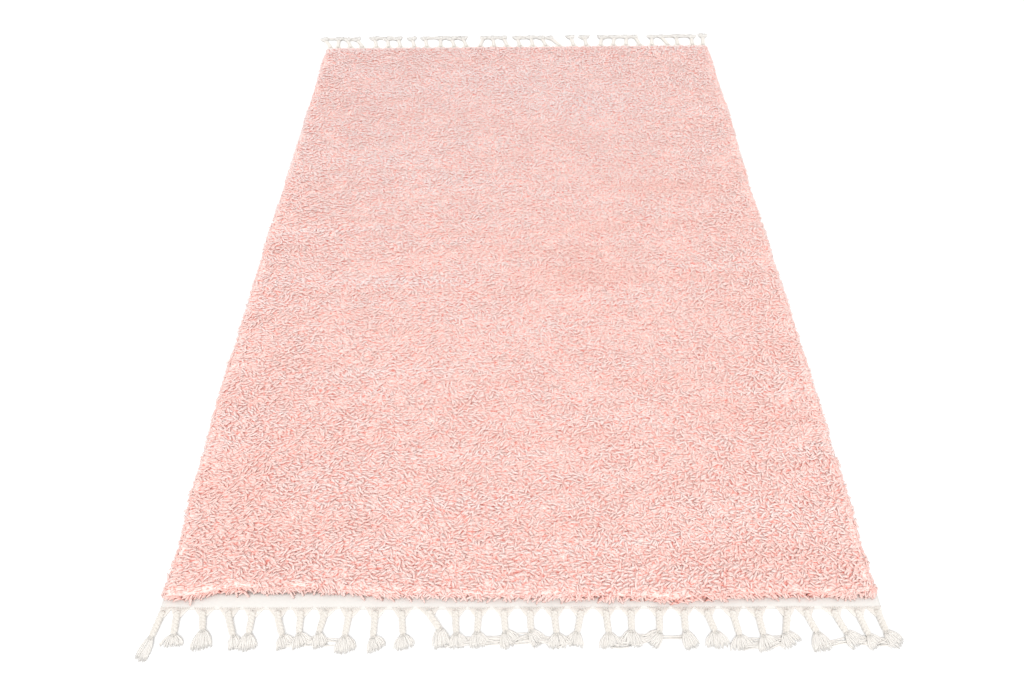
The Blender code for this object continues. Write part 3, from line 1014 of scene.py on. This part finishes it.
def root_lines(tassel, toward, room_left, room_right, draw):
    """The warp ends from the heading into the plait. room is half the way to each neighbour."""
    spread = np.linspace(-1, 1, ROOT_YARNS)
    room = np.where(spread < 0, room_left, room_right)
    foot = spread * np.minimum(room, ROOT_SPREAD)
    height = 0.3 * MM + draw.uniform(0, 0.3, ROOT_YARNS) * MM
    middle = tassel.root * MM
    join = plait_point(tassel, toward, ROOT_JOIN)
    edge_in, edge_out = toward * (TAPE_EDGE - ROOT_IN), toward * (TAPE_EDGE + ROOT_OUT)
    start = level(ROOT_YARNS, middle + foot * ROOT_FLARE, edge_in, height)
    bend = level(ROOT_YARNS, middle + foot * ROOT_WAIST, edge_out, height + ROOT_ARCH)
    end = level(ROOT_YARNS, join[0] + spread * JOIN_HALF, join[1], JOIN_HEIGHT)
    return curve_through(start, bend, end, np.linspace(0, 1, root_yarn.rings))


def tie_line(tassel, toward):
    """A few turns of thread round the plait's end."""
    before, after = plait_middle(tassel, toward, np.array([0.97, 1.03]))
    ahead = (after - before) / np.linalg.norm(after - before)
    aside = np.array([-ahead[1], ahead[0], 0])
    share = np.linspace(-0.5, 0.5, tie_yarn.rings)
    turn = share * TIE_TURNS * math.tau
    line = (before + after) / 2 + ahead * (share * TIE_LONG)[:, None]
    line = line + aside * (np.cos(turn) * TIE_WIDE)[:, None]
    return (line + UP * (TIE_MIDDLE + np.sin(turn) * TIE_HIGH)[:, None])[None]


print("a tassel's roots are", ROOT_YARNS * root_yarn.triangles, "triangles")

# %% [markdown]
# Past the tie the yarns fan out and rest on the floor, kinked by the weave that they were once
# meant for, and cut unevenly. Here and there a few have strayed into the next tuft.

# %% Tufts
TUFT_YARNS = 46
TUFT_WIDTHS = np.array([0.9, 1.1, 1.2, 1.1, 0.5]) * 1.5 * MM
LINK_WIDTHS = np.array([1.2, 1.5, 1.5, 1.5, 0.6]) * MM
TUFT_SCATTER, TUFT_ROUND = 0.12, 0.08  # how uneven the fan is, and how much shorter at its sides
TUFT_CUT = (0.84, 1.05)  # the shortest and longest yarn against the tuft's length
TIE_HALF = 3.2 * MM  # half the bundle's width at the tie
FAN, FAN_BEND = 0.66, 0.95  # half the fan against the tuft's width; where it opens
KINKS, KINK_SIZE = (0.8, 1.6), 1.3 * MM
LINK_BULGE = 9  # mm
end_yarn = Yarn(sides=3, rings=len(TUFT_WIDTHS))
end_shares = np.linspace(0, 1, end_yarn.rings)


def lean_of(tassel, toward):
    """From the tie to the tuft's far end."""
    return np.array([tassel.tuft_lean * MM, toward * tassel.tuft_long * MM, 0])


def tuft_lines(tassel, toward, draw):
    """The open yarns past the tie: a fan, laid on the floor."""
    tie, lean = plait_point(tassel, toward, 1.0), lean_of(tassel, toward)
    aside = np.array([lean[1], -lean[0], 0]) / np.linalg.norm(lean)
    place = np.linspace(-1, 1, TUFT_YARNS) + draw.normal(size=TUFT_YARNS) * TUFT_SCATTER
    length = draw.uniform(*TUFT_CUT, TUFT_YARNS) * (1 - TUFT_ROUND * place ** 2)
    wide = tassel.tuft_wide * MM * FAN
    start = tie - lean * 0.08 + aside * (place * TIE_HALF)[:, None]
    start[:, 2] = 5 * MM + draw.uniform(-1.0, 1.0, TUFT_YARNS) * MM
    bend = tie + lean * 0.30 + aside * (place * wide * FAN_BEND)[:, None]
    bend[:, 2] = draw.uniform(4.0, 5.6, TUFT_YARNS) * MM
    end = tie + lean * length[:, None] + aside * (place * wide)[:, None]
    end[:, 2] = draw.uniform(1.2, 2.8, TUFT_YARNS) * MM
    waves = end_shares * draw.uniform(*KINKS, (TUFT_YARNS, 1))
    kink = np.sin(waves * math.tau + draw.uniform(0, 7, (TUFT_YARNS, 1)))
    lines = curve_through(start, bend, end, end_shares)
    return lines + aside * (kink * end_shares * KINK_SIZE)[:, :, None]


def link_lines(first, second, toward, count, draw):
    """Yarns that have strayed from one tuft into the next, across the gap between them."""
    ends = []
    for tassel in (first, second):
        shares = draw.uniform(0.15, 0.85, (count, 1))
        end = plait_point(tassel, toward, 1.0) + lean_of(tassel, toward) * shares
        end[:, 2] = draw.uniform(1.5, 4.0, count) * MM
        ends.append(end)
    bend = (ends[0] + ends[1]) / 2
    bend[:, 1] += toward * draw.uniform(-LINK_BULGE, LINK_BULGE, count) * MM
    return curve_through(ends[0], bend, ends[1], end_shares)


print("a tuft is", TUFT_YARNS * end_yarn.triangles, "triangles")

# %% [markdown]
# A fringe is one piece, because its yarns come out of one heading. It is all the same cotton, but
# the plaits are painted darkest, as painted shade, and the open tufts brightest, as painted light.

# %% Make the fringes
# One cotton painted in lit and shaded copies: painted shade on the plaits, painted light on the
# roots, the tie and, most, the tufts; each is spread a little by chance.
STRAND_LIGHT, ROOT_LIGHT, TIE_LIGHT, TUFT_LIGHT = (0.15, 0.35), (0.5, 0.8), 0.6, (0.8, 1.0)
STRAND_FLAT, TUFT_FLAT, LINK_FLAT = 0.92, 0.6, 0.7


def make_fringe(name, tassels, links, toward, seed):
    """One end's fringe: near with toward -1, far with toward 1."""
    draw = np.random.default_rng(seed)
    skein = Skein()
    starts = [tassel.root * MM for tassel in tassels]
    halves = [(a + b) / 2 for a, b in zip(starts, starts[1:])]
    borders = [TAPE_LEFT] + halves + [TAPE_RIGHT]
    for tassel, start, left, right in zip(tassels, starts, borders, borders[1:]):
        strands, widths = plait_lines(tassel, toward, draw.uniform(0, math.tau))
        skein.lay(strand_yarn, strands, widths, draw.uniform(*STRAND_LIGHT, 3), flat=STRAND_FLAT)
        gathered = root_lines(tassel, toward, start - left, right - start, draw)
        skein.lay(root_yarn, gathered, ROOT_WIDTHS, draw.uniform(*ROOT_LIGHT, ROOT_YARNS))
        skein.lay(tie_yarn, tie_line(tassel, toward), TIE_RADIUS, TIE_LIGHT)
        tuft = tuft_lines(tassel, toward, draw)
        shades = draw.uniform(*TUFT_LIGHT, TUFT_YARNS)
        skein.lay(end_yarn, tuft, TUFT_WIDTHS, shades, flat=TUFT_FLAT)
    for number, count in links.items():
        strayed = link_lines(tassels[number], tassels[number + 1], toward, count, draw)
        skein.lay(end_yarn, strayed, LINK_WIDTHS, draw.uniform(*TUFT_LIGHT, count), flat=LINK_FLAT)
    return skein.join(name, fringe_finish)


fringes = {
    "near": make_fringe("tassels_near", NEAR_TASSELS, NEAR_LINKS, -1, seed=41),
    "far": make_fringe("tassels_far", FAR_TASSELS, FAR_LINKS, 1, seed=42),
}

# %% [markdown]
# Every piece rides on the rug's one body. The pieces stand for the frame's plain solids, which are
# hidden. The cloth and the headings are sheets.

# %% Put each piece on the rug's body and hide the frame's solids
pieces = [cloth, roots, *pile_pieces, *tapes.values(), *fringes.values()]
for piece in pieces:
    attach(piece, "root")
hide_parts("rug_pile")
for end in ("near", "far"):
    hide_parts("band_" + end)
    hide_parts("fringe_" + end)
print(len(pieces), "pieces ride on the root")

# %% [markdown]
# Last, the rug's box is compared with the frame's. Only a few yarn tips may reach past it.

# %% Measure and finish
made_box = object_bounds()
grown = [[round((b - a) / MM, 1) for a, b in zip(*corners)] for corners in zip(cad_box, made_box)]
print("visual box against the frame's, in mm:", grown)
